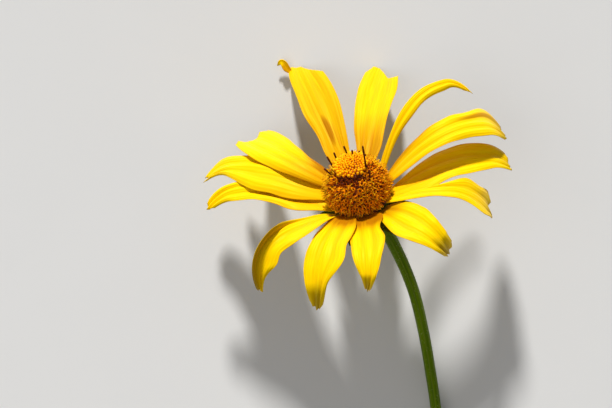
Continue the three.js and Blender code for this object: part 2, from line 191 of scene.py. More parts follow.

# Rays. turn: degrees round the axis; seat: height of the root; half and tip: points of the midrib
# from the middle of the head; widest, claw and end: shape of the outline; ends: how far short of
# the tip each of seven ribs ends; twist: roll at root, middle and tip; cup: degrees by which the
# right and left half are lifted, all along or at even stations from root to tip; fold: where
# across the right half its margin is folded up, and by how many degrees; hook: reach of the bent
# tip; right and left: how far each edge stands out at even stations; gold: how golden the root
# is; brown and olive: spots of colour, each by its place along and across, its reach along and
# across, and its depth. Brown is partly the rays' own golden brown, with a darker tone all over
# rays 1, 2 and 13, and partly painted shadow in creases and folds and at roots that the disc or a
# neighbouring ray shades; olive is painted shade on tips and margins that turn away from the light
PLAIN_RAY = dict(
    widest=0.55, claw=0.22, end=0.3, ends=(1.9, 0.7, 1.4, 0, 1.4, 0.7, 1.9), twist=(0, 0, 0),
    cup=(10, 10), fold=(1, 0), hook=(0, 0, 0), right=(1, 1, 1, 1, 1, 1), left=(1, 1, 1, 1, 1, 1),
    gold=0.3, brown=(), olive=())
RAYS = [
    dict(turn=98, seat=0.6, half=(-8.4, 19.4, -12.2), tip=(-14.7, 33.2, -25.38), width=9.6, widest=0.75,
         end=0.66, ends=(4.4, 3.2, 1.2, 0, -0.6, -0.9, 0.2), right=(0.8, 0.8, 0.91, 1.04, 1.04, 1),
         left=(1, 1.12, 0.89, 1, 0.91, 1.05), gold=0.9,
         brown=((0.4, 0, 0.6, 3, 0.42), (0.42, 0.12, 0.15, 0.28, 1), (0.36, -0.22, 0.16, 0.09, 0.85))),
    dict(turn=74, seat=1.2, half=(2.6, 19.4, -12.5), tip=(6.3, 32.5, -24.58), width=9.8, widest=0.85,
         end=0.9, ends=(3, 3.4, 2.9, 1.2, -0.7, -0.9, 1), right=(1.2, 1.34, 1.05, 0.93, 0.99, 0.8),
         left=(0.8, 0.72, 0.97, 1.05, 1.06, 1.04), gold=0.8,
         brown=((0.5, 0, 1, 3, 0.12), (0.05, 0, 0.46, 3, 0.75))),
    dict(turn=37, seat=0.7, half=(12.1, 24.1, -3.5), tip=(26.5, 29.1, -8), width=5, widest=0.6, end=0.2,
         cup=(-15, -15), hook=(0.5, -3.4, 0), right=(1.1, 0.93, 1.1, 0.91, 1.06, 0.9),
         left=(0.8, 0.15, 0.28, 0.34, 0.15, 0.7), gold=0.2),
    dict(turn=16, seat=1.2, half=(19.6, 16.05, 3.4), tip=(34.8, 18, -5.6), width=8.6, widest=0.72,
         ends=(0.6, 0, 0.1, 0.2, 0.3, 0.5, 1), twist=(0, -20, -10), cup=((5, 5, 2, -4, -8, -8), 5),
         hook=(0, -2.6, 0), right=(1.5, 1.15, 0.88, 0.8, 0.95, 1.3),
         left=(1.1, 0.97, 0.99, 0.93, 1.18, 3.2), gold=0.5,
         brown=((0.2, 0.95, 0.24, 0.4, 0.85), (0.82, 0.55, 0.2, 0.12, 0.75)),
         olive=((1, 0.2, 0.1, 1, 0.3),)),
    dict(turn=-12, seat=0.6, half=(21.4, 8.75, 0.9), tip=(35.8, 9.5, -3.6), width=9.4, widest=0.65,
         ends=(0, 0, 0.2, 0.4, 0.7, 1.1, 1.8), twist=(0, -20, -10), cup=((5, 5, 5, 8, 10, 10), 5),
         hook=(0.3, -1.7, 0), right=(1.8, 1.75, 1.06, 0.92, 0.83, 0.95),
         left=(0.8, 0.8, 0.97, 1.02, 1.08, 1.65), gold=0.5, olive=((1, 0.2, 0.1, 1, 0.35),)),
    dict(turn=-40, seat=1.7, half=(21.9, 2.6, 7), tip=(31, -3.8, 0), width=8, widest=0.65, end=0.4,
         right=(1.5, 1.1, 0.97, 0.92, 1.5, 1.1), left=(0.1, 0.05, 0.47, 1, 1.25, 3), gold=0.1,
         olive=((0.98, 0, 0.09, 0.8, 0.3),)),
    dict(turn=-58, seat=0.1, half=(13, -6.2, 15), tip=(20, -12.7, 15), width=8.5, widest=0.5, end=0.45,
         ends=(1.2, 0.2, 0.5, 0, 0.3, 0.4, 1.2), hook=(0.2, 0, -3),
         right=(1.5, 1.36, 1.4, 1.05, 0.79, 0.57), left=(1.7, 1.44, 1.18, 0.96, 1, 1.25), gold=0.15,
         brown=((0, 0.2, 0.18, 1, 0.8),), olive=((0.9, -0.1, 0.16, 0.6, 0.55),)),
    dict(turn=-92, seat=1.1, half=(1.2, -11.7, 18), tip=(0.9, -21.1, 20), width=8.8, widest=0.38,
         end=0.2, ends=(1.4, 0.6, 0.5, 0, 0.5, 0.4, 1.2), hook=(0, -0.2, -3.4),
         right=(2.2, 1.2, 0.98, 0.94, 0.83, 0.7), left=(2.2, 0.82, 0.95, 0.8, 0.78, 0.6), gold=0.1,
         brown=((0, 0, 0.2, 3, 1.2),), olive=((1, 0, 0.16, 0.7, 0.55),)),
    dict(turn=-130, seat=1.5, half=(-8.8, -12.2, 15.5), tip=(-10.9, -25.6, 17), width=9.4, widest=0.5,
         ends=(1.5, 0.6, 0.5, 0, 0.4, 0.6, 1.6), hook=(0, -0.2, -3.4),
         right=(1.5, 0.96, 0.93, 1.03, 1, 0.86), left=(1.6, 1.4, 1.05, 1.21, 0.63, 0.78), gold=0.1,
         brown=((0, 0, 0.2, 3, 1.2),), olive=((1, 0.1, 0.2, 0.7, 0.6),)),
    dict(turn=-156, seat=0.2, half=(-21, -8.6, 13), tip=(-24.4, -21, 13), width=8.6, widest=0.6,
         end=0.25, ends=(1.9, 1.2, 0.8, 0.2, 0, 0.2, 0.6), twist=(-20, 35, 40), cup=(14, 15),
         fold=(0.08, 60), hook=(0.6, -0.8, -2), right=(1, 0.4, 0.54, 0.75, 1.2, 1.3),
         left=(1.5, 1.8, 1.34, 0.98, 1.09, 0.3), gold=0.1, olive=((0.68, -1, 0.42, 0.9, 0.8),)),
    dict(turn=178, seat=0, half=(-22.4, 3, -3.9), tip=(-37.5, 0, -8), width=9.6, widest=0.45,
         ends=(1.4, 0.8, 0.4, 0, 0.3, 0.7, 1.4), twist=(0, 10, 10), cup=((-8, -12, -14, -8, 0, 4), 10),
         hook=(0, -2.4, 0), right=(1, 1, 1, 0.8, 0.66, 0.9), left=(1.1, 1.36, 1, 0.85, 0.92, 0.77),
         gold=0.6),
    dict(turn=154, seat=1.25, half=(-22.2, 7.6, -5.4), tip=(-38.3, 6.8, -15), width=9.8, widest=0.5,
         end=0.1, ends=(1.6, 0.4, 1, 1.6, 1, 0, 1.6),
         cup=((-6, -14, -20, -18, -4, 0), (0, -4, -7, -8, -2, 4)), hook=(-0.3, -2.6, 0),
         right=(1.2, 1.2, 1.1, 1.1, 1.22, 2.75), left=(1.4, 1.55, 1.37, 1.32, 0.87, 0.25), gold=0.75),
    dict(turn=131, seat=1.4, half=(-16.8, 9.9, -4.6), tip=(-29.1, 15.6, -20), width=9.8, widest=0.85,
         end=0.8, ends=(2.2, 1.5, 2.6, 3.6, 2.4, 1.4, 2), cup=(10, (-8, -20, -22, -19, -6, -4)),
         right=(1, 1.05, 0.85, 0.95, 1.22, 1.25), left=(0.85, 0.95, 1, 1, 1.06, 0.78), gold=0.85,
         brown=((0.18, -0.75, 0.25, 0.55, 1), (0.1, 0, 0.4, 3, 0.35))),
]


def from_head(x, y, z):
    """A point given along the head's own side, back and axis, as a point from its middle."""
    return HEAD_SIDE * x + HEAD_BACK * y + HEAD_AXIS * z


def round_head(r, turn, h):
    """A point at a distance and a turn round the head's axis, and at a height along it."""
    return from_head(r * math.cos(turn), r * math.sin(turn), h)


def unit(vectors):
    return vectors / np.linalg.norm(vectors, axis=-1, keepdims=True)


def through(values, x):
    """A smooth curve through evenly spaced values, read at x from 0 to 1."""
    values = np.asarray(values, float)
    padded = np.concatenate([values[:1], values, values[-1:]])
    place = np.clip(x, 0, 1) * (len(values) - 1)
    k = np.minimum(place.astype(int), len(values) - 2)
    f = place - k
    a, b, c, d = (padded[k + step] for step in range(4))
    bend = (2 * a - 5 * b + 4 * c - d) * f**2
    return 0.5 * (2 * b + (c - a) * f + bend + (3 * b - a - 3 * c + d) * f**3)


def rolled(vectors, axes, angles):
    """Each vector turned about its axis, which it is square to."""
    angles = angles[:, None]
    return vectors * np.cos(angles) + np.cross(axes, vectors) * np.sin(angles)


def add_object(name, data):
    made = bpy.data.objects.new(name, data)
    bpy.context.scene.collection.objects.link(made)
    return made


def add_piece(name, points, faces):
    """A smooth mesh object from points in millimetres."""
    mesh = bpy.data.meshes.new(name)
    mesh.from_pydata((np.asarray(points) * MM).tolist(), [], faces)
    mesh.shade_smooth()
    return add_object(name, mesh)


def settle(piece, node, material=None):
    """Hands a finished piece to the frame as the looks of a node."""
    if material is not None:
        piece.data.materials.clear()
        piece.data.materials.append(material)
    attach(piece, "root")
    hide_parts(node)


def store(piece, kind="FLOAT", **values):
    """Keeps named values for each point of a piece."""
    field = "value" if kind == "FLOAT" else "vector"
    for name, numbers in values.items():
        kept = piece.data.attributes.new(name, kind, "POINT")
        kept.data.foreach_set(field, np.asarray(numbers, np.float32).ravel())


def sheet_faces(rows, columns, first=0):
    """Quads of a closed shell: an upper grid of points, a lower one after it, and the rim."""
    lower = rows * columns
    faces = []
    for i in range(rows - 1):
        for j in range(columns - 1):
            a = first + i * columns + j
            quad = [a, a + 1, a + columns + 1, a + columns]
            faces.append(quad[::-1])
            faces.append([k + lower for k in quad])
    rim = [first + j for j in range(columns - 1)]
    rim += [first + i * columns + columns - 1 for i in range(rows - 1)]
    rim += [first + (rows - 1) * columns + j for j in range(columns - 1, 0, -1)]
    rim += [first + i * columns for i in range(rows - 1, 0, -1)]
    for a, b in zip(rim, rim[1:] + rim[:1]):
        faces.append([a, b, b + lower, a + lower])
    return faces


def shell(grid, thickness):
    """Upper and lower points of a sheet whose rows run from root to tip, columns from right to left."""
    normals = unit(np.cross(np.gradient(grid, axis=0), np.gradient(grid, axis=1)))
    offset = normals * (thickness / 2)[..., None]
    return np.concatenate([(grid + offset).reshape(-1, 3), (grid - offset).reshape(-1, 3)])


def midrib(ray, samples=160, reach=1.12):
    """Points of a ray's midrib with its sideways and upward directions, evenly sampled."""
    root = round_head(ROOT_RADIUS, math.radians(ray["turn"]), ray["seat"])
    half, tip = np.array(ray["half"]), np.array(ray["tip"])
    t = np.linspace(0, reach, samples + 1)[:, None]
    shares = (1 - t) ** 2, 2 * t * (1 - t), t**2
    points = root * shares[0] + (2 * half - (root + tip) / 2) * shares[1] + tip * shares[2]
    bend = np.clip((t - HOOK_START) / (1 - HOOK_START), 0, 2)
    points = points + np.array(ray["hook"]) * bend**2
    along = unit(np.gradient(points, axis=0))
    ups = []
    up = HEAD_AXIS
    for direction in along:
        up = unit(up - direction * up.dot(direction))
        ups.append(up)
    roll = np.radians(sum(twist * share for twist, share in zip(ray["twist"], shares)))
    ups = rolled(np.array(ups), along, -roll[:, 0])
    t = t[:, 0]
    length = np.linalg.norm(np.diff(points[t <= 1], axis=0), axis=1).sum()
    return t, points, np.cross(ups, along), ups, length


def width_share(ray, s):
    widest = ray["widest"]
    opening = ray["claw"] + (1 - ray["claw"]) * (1 - np.clip(1 - s / widest, 0, 1) ** CLAW_CURVE)
    closing = ((np.clip(s, widest, 1) - widest) / (1 - widest)) ** 2
    return np.where(s < widest, opening, 1 - (1 - ray["end"]) * closing)


def folded(across, s, start, angle):
    """Reach and rise of a margin that is folded up past its start, as shares of the half width."""
    line = np.linspace(0, 1, 121)
    turn = math.radians(angle) * np.clip((line - start) / FOLD_WIDTH, 0, 1)
    reach = np.concatenate([[0], np.cumsum(np.cos(turn[1:])) * line[1]])
    rise = np.concatenate([[0], np.cumsum(np.sin(turn[1:])) * line[1]])
    share = np.clip((s - FOLD_START) / (FOLD_FULL - FOLD_START), 0, 1) * (across < 0)
    out = np.abs(across)
    return out + share * (np.interp(out, line, reach) - out), share * np.interp(out, line, rise)


def spots(marks, s, across):
    """How deep a set of spots, partly own colour and partly painted shade, tints each point."""
    depth = np.zeros_like(s)
    for along, aside, length, width, strength in marks:
        away = ((s - along) / length) ** 2 + ((across - aside) / width) ** 2
        depth = np.maximum(depth, strength * np.exp(-away**2))
    return depth


def ray_surface(ray, looks, wander, rows=100, columns=61):
    """Middle surface of a ray: a grid of points, with their place along and across it, and its pleats."""
    t_mid, points, sides, ups, length = midrib(ray)
    across = np.linspace(-1, 1, columns)[None, :]
    ends = np.interp(across, np.linspace(-1, 1, len(ray["ends"])), ray["ends"])
    s = np.linspace(0, 1, rows)[:, None] * (1 - ends / length)
    across = np.broadcast_to(across, s.shape)

    def at(values):
        return np.stack([np.interp(s, t_mid, values[:, k]) for k in range(3)], axis=-1)

    right, left = through(ray["right"], s), through(ray["left"], s)
    half = ray["width"] / 2 * width_share(ray, s) * np.where(across < 0, right, left)
    cups = [through(cup, s) if isinstance(cup, tuple) else cup for cup in ray["cup"]]
    lift = np.radians(np.where(across < 0, *cups)) * np.abs(across)
    grown = np.minimum(1, 3 * s)
    pleats = np.cos(PLEATS * math.pi * across) * grown
    swayed = across + VEIN_SWAY * np.sin(VEIN_WAVES * s + wander)
    veins = looks.vein_height / MM * np.cos(looks.vein_count * math.pi * swayed) * grown
    wave = looks.edge_wave / MM * np.abs(across) ** 3 * grown
    varied = 1 + 0.4 * np.sin(SHORT_WAVES * s - wander)
    wave = wave * np.sin(EDGE_WAVES * s + wander + 1.5 * across) * varied
    reach, rise = folded(across, s, *ray["fold"])
    out = half * np.sign(across) * (reach * np.cos(lift) - rise * np.sin(lift))
    up = half * (reach * np.sin(lift) + rise * np.cos(lift)) + PLEAT * pleats + veins + wave
    return at(points) + at(sides) * out[..., None] + at(ups) * up[..., None], s, across, pleats


def scrap_surface(corner, rows=28, columns=15):
    """Middle surface of the torn scrap that clings to a corner of the first ray's tip."""
    s = np.linspace(0, 1, rows)[:, None]
    course = corner + np.concatenate([through(values, s) for values in zip(*SCRAP_COURSE)], axis=1)
    sides = unit(np.cross([0, 0, 1], unit(np.gradient(course, axis=0))))
    s, across = np.broadcast_arrays(s, np.linspace(-1, 1, columns)[None, :])
    out = across * np.where(across < 0, through(SCRAP_RIGHT, s), through(SCRAP_LEFT, s))
    curl = np.zeros(out.shape + (3,))
    curl[..., 2] = SCRAP_CURL * out**2
    return course[:, None] + sides[:, None] * out[..., None] + curl, s, across, 0 * s


def add_petal(name, ray, surface, wander, looks):
    """A thin sheet with its places, pleats and spots of own colour and painted shade kept for its material.
    """
    grid, s, across, ridge = surface
    edge = np.clip((1 - np.abs(across)) * EDGE_TAPER, 0, 1)
    tip = np.clip((1 - np.linspace(0, 1, len(s))[:, None]) * TIP_TAPER, 0, 1)
    thickness = looks.thickness / MM * (THIN_MARGIN + (1 - THIN_MARGIN) * np.sqrt(edge * tip))
    piece = add_piece(name, shell(grid, thickness) + HEAD, sheet_faces(*s.shape))
    values = dict(
        across=across, along=s, ridge=ridge, brown=spots(ray["brown"], s, across),
        olive=spots(ray["olive"], s, across), gold=ray["gold"] + 0 * s, wander=wander + 0 * s)
    store(piece, under=[0 * s, 0 * s + 1], **{label: [upper, upper] for label, upper in values.items()})
    return piece


def build_rays(looks, material):
    draw = random.Random(looks.seed)
    for n, entry in enumerate(RAYS, 1):
        ray = {**PLAIN_RAY, **entry}
        wander = draw.uniform(*SHIFTS)
        surface = ray_surface(ray, looks, wander)
        petal = add_petal(f"petal_{n:02d}", ray, surface, wander, looks)
        settle(petal, f"ray_petal_{n:02d}", material)
        if n == 1:
            torn = {**ray, **SCRAP_SPOTS}
            scrap = add_petal("petal_01_scrap", torn, scrap_surface(surface[0][-1, -1]), wander, looks)
            settle(scrap, "ray_petal_01", material)


def add_node(tree, kind, inputs=None, **settings):
    """A node with its settings; an input is a value, or a socket that it is linked to."""
    node = tree.nodes.new(kind)
    for name, value in settings.items():
        setattr(node, name, value)
    for name, value in (inputs or {}).items():
        if isinstance(value, bpy.types.NodeSocket):
            tree.links.new(value, node.inputs[name])
        else:
            node.inputs[name].default_value = value
    return node


def new_group(name, kind, inputs, outputs):
    """An empty node group; each of its named sockets has a kind, or a number as its default."""
    tree = bpy.data.node_groups.new(name, kind)
    for way, sockets in (("INPUT", inputs), ("OUTPUT", outputs)):
        for label, value in sockets.items():
            sort = {float: "Float", int: "Int"}.get(type(value))
            socket = tree.interface.new_socket(label, in_out=way, socket_type=f"NodeSocket{sort or value}")
            if sort:
                socket.default_value = value
    return tree, tree.nodes.new("NodeGroupInput").outputs, tree.nodes.new("NodeGroupOutput").inputs


def maths(tree, operation, a, b=0.0, clamp=False):
    return add_node(tree, "ShaderNodeMath", {0: a, 1: b}, operation=operation, use_clamp=clamp).outputs[0]


def times(tree, a, b, clamp=False):
    return maths(tree, "MULTIPLY", a, b, clamp)


def ramp(tree, value, low, high, to_low=0.0, to_high=1.0):
    """A value carried smoothly from one range to another, and held at its ends."""
    ends = {"From Min": low, "From Max": high, "To Min": to_low, "To Max": to_high}
    node = add_node(tree, "ShaderNodeMapRange", {"Value": value, **ends}, interpolation_type="SMOOTHSTEP")
    return node.outputs["Result"]


def blend_colours(tree, share, a, b):
    """The first colour, turned to the second by a share."""
    return add_node(tree, "ShaderNodeMix", {0: share, 6: a, 7: b}, data_type="RGBA").outputs[2]


def attribute(tree, name):
    return add_node(tree, "ShaderNodeAttribute", attribute_name=name).outputs["Fac"]


def colour(values):
    return (*values[:3], 1.0)


def new_material(name, roughness, **constants):
    """A material with its shader; constants that are the same all over go on the shader itself."""
    material = bpy.data.materials.new(name)
    material.use_nodes = True
    shader = material.node_tree.nodes["Principled BSDF"]
    shader.inputs["Roughness"].default_value = roughness
    for label, value in constants.items():
        shader.inputs[label.replace("_", " ")].default_value = value
    return material, material.node_tree, shader


def finish(tree, shader, body, grain, roughness, strength, distance):
    """Gives a shader its colour, and a roughness and small bumps that follow a grain."""
    tree.links.new(body, shader.inputs["Base Color"])
    tree.links.new(ramp(tree, grain, 0.3, 0.7, *roughness), shader.inputs["Roughness"])
    bump = add_node(tree, "ShaderNodeBump", {"Strength": strength, "Distance": distance, "Height": grain})
    tree.links.new(bump.outputs[0], shader.inputs["Normal"])


def streaks_group():
    """Soft and fine streaks that run lengthwise on a petal, leaf or stem."""
    tree, given, made = new_group(
        "Lengthwise streaks", "ShaderNodeTree",
        {"Across": 0.0, "Along": 0.0, "Shift": 0.0, "Width": 5.0, "Stretch": 1.2},
        {"Soft": "Float", "Fine": "Float"})
    across = times(tree, given["Across"], given["Width"])
    along = times(tree, given["Along"], given["Stretch"])
    place = add_node(tree, "ShaderNodeCombineXYZ", {"X": across, "Y": along, "Z": given["Shift"]})
    for label, scale, detail in (("Soft", 1.0, 2.0), ("Fine", 4.2, 3.0)):
        grain = {"Vector": place.outputs[0], "Scale": scale, "Detail": detail, "Roughness": 0.6}
        tree.links.new(add_node(tree, "ShaderNodeTexNoise", grain).outputs["Fac"], made[label])
    return tree


def streaks(tree, width, stretch):
    """The soft and the fine streaks of a surface, from the places that its points keep."""
    group = bpy.data.node_groups.get("Lengthwise streaks") or streaks_group()
    places = {"Across": "across", "Along": "along", "Shift": "wander"}
    inputs = {label: attribute(tree, name) for label, name in places.items()}
    inputs.update({"Width": width, "Stretch": stretch})
    node = add_node(tree, "ShaderNodeGroup", inputs, node_tree=group)
    return node.outputs["Soft"], node.outputs["Fine"]


def petal_material(looks):
    """Silky yellow that turns golden towards the root, with orange in its furrows as painted shade, and
    brown and olive spots that are partly painted shade and shadow.
    """
    material, tree, shader = new_material(
        "Silky yellow petal", 0.42, Specular_IOR_Level=0.2, Specular_Tint=(1.0, 0.85, 0.03, 1.0))
    along = attribute(tree, "along")
    soft, fine = streaks(tree, 4.0, 1.3)
    reach = maths(tree, "SUBTRACT", along, times(tree, soft, 0.5))
    golden = times(tree, ramp(tree, reach, 0.45, -0.2), attribute(tree, "gold"))
    body = blend_colours(tree, golden, colour(looks.blade_colour), colour(looks.root_colour))
    # Painted shade: orange where the pleats sink into furrows, strongest towards the root
    furrow_shade = times(tree, ramp(tree, attribute(tree, "ridge"), 0.3, -1.0), ramp(tree, along, 1.0, 0.1))
    vein = ramp(tree, fine, 0.62, 0.42, 0.0, 0.4)
    mottle = ramp(tree, soft, 0.25, 0.6, 0.7, 1.1)
    # Brown spots are partly the rays' own golden brown and partly painted shadow; olive spots are painted
    # shade
    layers = [
        (times(tree, furrow_shade, times(tree, soft, 1.1)), looks.furrow_shade_colour),
        (vein, looks.root_colour),
        (times(tree, attribute(tree, "under"), 0.5), looks.under_colour),
        (times(tree, attribute(tree, "brown"), mottle, clamp=True), looks.brown_and_shadow_colour),
        (times(tree, attribute(tree, "olive"), mottle, clamp=True), looks.olive_shade_colour),
    ]
    for share, tone in layers:
        body = blend_colours(tree, share, body, colour(tone))
    finish(tree, shader, body, fine, (0.36, 0.52), 0.35, 0.00012)
    return material


def tissue_material(name, roughness, dark, light, **constants):
    """Colour that varies from one small repeated shape to the next, and from its foot to its tip."""
    material, tree, shader = new_material(name, roughness, **constants)
    share = maths(
        tree, "ADD", times(tree, attribute(tree, "rise"), 0.65), times(tree, attribute(tree, "tone"), 0.35))
    body = blend_colours(tree, ramp(tree, share, 0.1, 0.9), colour(dark), colour(light))
    place = add_node(tree, "ShaderNodeTexCoord").outputs["Object"]
    noise = add_node(tree, "ShaderNodeTexNoise", {"Vector": place, "Scale": 2500.0, "Detail": 2.0})
    grain = noise.outputs["Fac"]
    body = blend_colours(tree, ramp(tree, grain, 0.3, 0.7, 0.0, 0.3), body, colour(dark))
    finish(tree, shader, body, grain, (roughness - 0.08, roughness + 0.08), 0.3, 0.00005)
    return material


def green_material(name, roughness, dark, light, pale, stretch):
    """Green with lengthwise streaks and paler ribs, for leaves and stems."""
    material, tree, shader = new_material(
        name, roughness, Specular_IOR_Level=0.15, Specular_Tint=(0.8, 1.0, 0.2, 1.0))
    soft, fine = streaks(tree, 3.0, stretch)
    body = blend_colours(tree, ramp(tree, soft, 0.3, 0.7), colour(dark), colour(light))
    ridge = ramp(tree, attribute(tree, "ridge"), 0.1, 1.0)
    rib = times(tree, ridge, ramp(tree, fine, 0.3, 0.7, 0.2, 0.7))
    body = blend_colours(tree, rib, body, colour(pale))
    finish(tree, shader, body, fine, (roughness - 0.08, roughness + 0.1), 0.4, 0.0001)
    return material


def rings_of(rings, sides, first=0):
    """Points of rings, each with a radius, a height and a sideways shift, and the quads between them."""
    points, quads = [], []
    for radius, height, shift in rings:
        for j in range(sides):
            angle = 2 * math.pi * j / sides
            points.append((radius * math.cos(angle) + shift, radius * math.sin(angle), height))
    for i in range(len(rings) - 1):
        for j in range(sides):
            a, b = (first + i * sides + k for k in (j, (j + 1) % sides))
            quads.append([a, b, b + sides, a + sides])
    return points, quads


def tube(rings, sides):
    """A closed tube of few sides, with flat ends."""
    points, quads = rings_of(rings, sides)
    return points, quads + [list(range(sides))[::-1], list(range(len(points) - sides, len(points)))]


def stood(points, foot, side, way):
    """The points of an upright shape, carried to a foot and turned to stand along a way."""
    back = np.cross(unit(way), side)
    return [foot + side * x + back * y + way * z for x, y, z in points]


def merged(*shapes):
    points, faces = [], []
    for more_points, more_faces in shapes:
        faces += [[k + len(points) for k in face] for face in more_faces]
        points += more_points
    return points, faces


def corolla_shape():
    """An open floret: a flared tube and its five lobes."""
    cup = tube([(0.2, 0, 0), (0.3, 0.8, 0), (0.4, 1.3, 0), (0.28, 1.28, 0), (0.1, 0.9, 0)], 5)
    lobes = []
    for j in range(5):
        mid = 2 * math.pi * (j + 0.5) / 5
        corners = [(0.4, mid - 0.55, 1.2), (0.4, mid + 0.55, 1.2), (0.64, mid, 1.85), (0.34, mid, 1.1)]
        points = [(r * math.cos(a), r * math.sin(a), z) for r, a, z in corners]
        lobes.append((points, [[0, 2, 1], [0, 1, 3], [1, 2, 3], [2, 0, 3]]))
    return merged(cup, *lobes)


def anther_shape():
    return tube([(0.16, 0.5, 0), (0.2, 1.5, 0), (0.17, 2.1, 0), (0.06, 2.3, 0)], 5)


def stigma_shape():
    """Two yellow arms that part and curl back over a floret."""
    rings = [(0.08, 1.1, 0.03), (0.08, 2.1, 0.1), (0.08, 2.5, 0.4), (0.07, 2.35, 0.72), (0.03, 1.95, 0.8)]
    return merged(*(tube([(r, height, aside * way) for r, height, aside in rings], 3) for way in (1, -1)))


def bud_shape():
    return tube([(0.28, 0, 0), (0.4, 0.55, 0), (0.36, 0.85, 0), (0.14, 1.12, 0)], 5)


def hair_shape(length):
    return tube([(0.03, -0.05, 0), (0.022, 0.5 * length, 0.04 * length), (0.005, length, 0.15 * length)], 3)


def shape_object(name, shape):
    """A small shape that node trees repeat, in metres, with its rise from foot to tip."""
    points, faces = shape
    piece = add_piece(name, points, faces)
    heights = np.array([point[2] for point in points])
    store(piece, rise=(heights - heights.min()) / (heights.max() - heights.min()))
    return piece


def named_value(tree, name, kind):
    return add_node(tree, "GeometryNodeInputNamedAttribute", {"Name": name}, data_type=kind)


def seat_tree():
    """Stands a copy of a shape on each point, square to the surface there."""
    tree, given, made = new_group(
        "Shapes on seats", "GeometryNodeTree",
        {"Geometry": "Geometry", "Shape": "Object", "Lean": 0.1, "Size Spread": 0.1, "Seed": 1,
         "Material": "Material"},
        {"Geometry": "Geometry"})
    stand = named_value(tree, "stand", "FLOAT_VECTOR")
    place_copies(tree, given, made, given["Geometry"], stand.outputs["Attribute"])
    return tree


def hair_tree():
    """Scatters copies of a hair over a surface, apart from what lies close to the floor."""
    tree, given, made = new_group(
        "Hairs on a surface", "GeometryNodeTree",
        {"Geometry": "Geometry", "Shape": "Object", "Density": 1.0, "Bare Below": 0.0, "Lean": 0.4,
         "Size Spread": 0.4, "Seed": 1, "Material": "Material"},
        {"Geometry": "Geometry"})
    position = add_node(tree, "GeometryNodeInputPosition").outputs[0]
    height = add_node(tree, "ShaderNodeSeparateXYZ", {0: position}).outputs["Z"]
    free = maths(tree, "GREATER_THAN", height, given["Bare Below"])
    spread = add_node(
        tree, "GeometryNodeDistributePointsOnFaces",
        {"Mesh": given["Geometry"], "Selection": free, "Density": given["Density"], "Seed": given["Seed"]})
    place_copies(tree, given, made, spread.outputs["Points"], spread.outputs["Normal"])
    return tree


def place_copies(tree, given, made, points, stand):
    """The shared end of both trees: lean, size and tone at random, then one real mesh."""
    lean, seed = given["Lean"], given["Seed"]
    back = times(tree, lean, -1.0)
    low = add_node(tree, "ShaderNodeCombineXYZ", {"X": back, "Y": back, "Z": 0.0}).outputs[0]
    high = add_node(tree, "ShaderNodeCombineXYZ", {"X": lean, "Y": lean, "Z": 2 * math.pi}).outputs[0]
    turn = add_node(
        tree, "FunctionNodeRandomValue", {0: low, 1: high, "Seed": seed}, data_type="FLOAT_VECTOR")
    upright = add_node(tree, "FunctionNodeAlignRotationToVector", {"Vector": stand}, axis="Z").outputs[0]
    spin = add_node(tree, "FunctionNodeEulerToRotation", {"Euler": turn.outputs[0]}).outputs[0]
    stance = add_node(
        tree, "FunctionNodeRotateRotation",
        {"Rotation": upright, "Rotate By": spin}, rotation_space="LOCAL")
    least, most = (maths(tree, sign, 1.0, given["Size Spread"]) for sign in ("SUBTRACT", "ADD"))
    size = add_node(tree, "FunctionNodeRandomValue", {2: least, 3: most, "Seed": seed}, data_type="FLOAT")
    own_size = named_value(tree, "size", "FLOAT").outputs
    scale = add_node(
        tree, "GeometryNodeSwitch",
        {"Switch": own_size["Exists"], "False": 1.0, "True": own_size["Attribute"]}, input_type="FLOAT")
    shape = add_node(tree, "GeometryNodeObjectInfo", {"Object": given["Shape"]})
    copies = add_node(
        tree, "GeometryNodeInstanceOnPoints",
        {"Points": points, "Instance": shape.outputs["Geometry"], "Rotation": stance.outputs[0],
         "Scale": times(tree, scale.outputs[0], size.outputs[1])})
    tone = add_node(tree, "FunctionNodeRandomValue", {"Seed": seed}, data_type="FLOAT").outputs[1]
    finish_tree(tree, given, made, keep_value(tree, copies.outputs[0], "tone", tone, "INSTANCE"))


def keep_value(tree, geometry, label, value, domain="POINT"):
    return add_node(
        tree, "GeometryNodeStoreNamedAttribute", {"Geometry": geometry, "Name": label, "Value": value},
        data_type="FLOAT", domain=domain).outputs[0]


def finish_tree(tree, given, made, geometry):
    """One real mesh with its material, as what the tree makes."""
    real = add_node(tree, "GeometryNodeRealizeInstances", {"Geometry": geometry}).outputs[0]
    dressed = add_node(tree, "GeometryNodeSetMaterial", {"Geometry": real, "Material": given["Material"]})
    tree.links.new(dressed.outputs[0], made[0])


def grow(name, source, tree, **values):
    """The plain mesh that a node tree makes from a source object."""
    modifier = source.modifiers.new("Growth", "NODES")
    modifier.node_group = tree
    for item in tree.interface.items_tree:
        label = item.name.replace(" ", "_")
        if item.in_out == "INPUT" and label in values:
            modifier[item.identifier] = values[label]
    depsgraph = bpy.context.evaluated_depsgraph_get()
    grown = source.evaluated_get(depsgraph)
    mesh = bpy.data.meshes.new_from_object(grown, preserve_all_data_layers=True, depsgraph=depsgraph)
    source.modifiers.remove(modifier)
    mesh.name = name
    return add_object(name, mesh)


def discard(*pieces):
    for piece in pieces:
        bpy.data.objects.remove(piece)


def dome(share):
    """Radius and height of the dome, a share of the way from its brim to its crown."""
    angle = share * math.pi / 2
    rise = (DISC_HEIGHT - DISC_BRIM) * math.sin(angle) ** DOME_SLOPE
    return DISC_RADIUS * math.cos(angle) ** DOME_SHOULDER, DISC_BRIM + rise


def mound(r):
    """How far the mound of buds rises over the dome at a distance from the axis."""
    return MOUND_RISE * math.sqrt(1 - (r / BUD_CAP_RADIUS) ** 2) if r < BUD_CAP_RADIUS else 0.0


def disc_profile(steps=80):
    """The disc's outline from its foot to its crown."""
    foot = [(DISC_FOOT_RADIUS + 0.3, DISC_BRIM - 1.8), (DISC_RADIUS - 0.3, DISC_BRIM - 0.9)]
    return np.array(foot + [dome(i / steps) for i in range(steps)] + [(0.0, DISC_HEIGHT)])


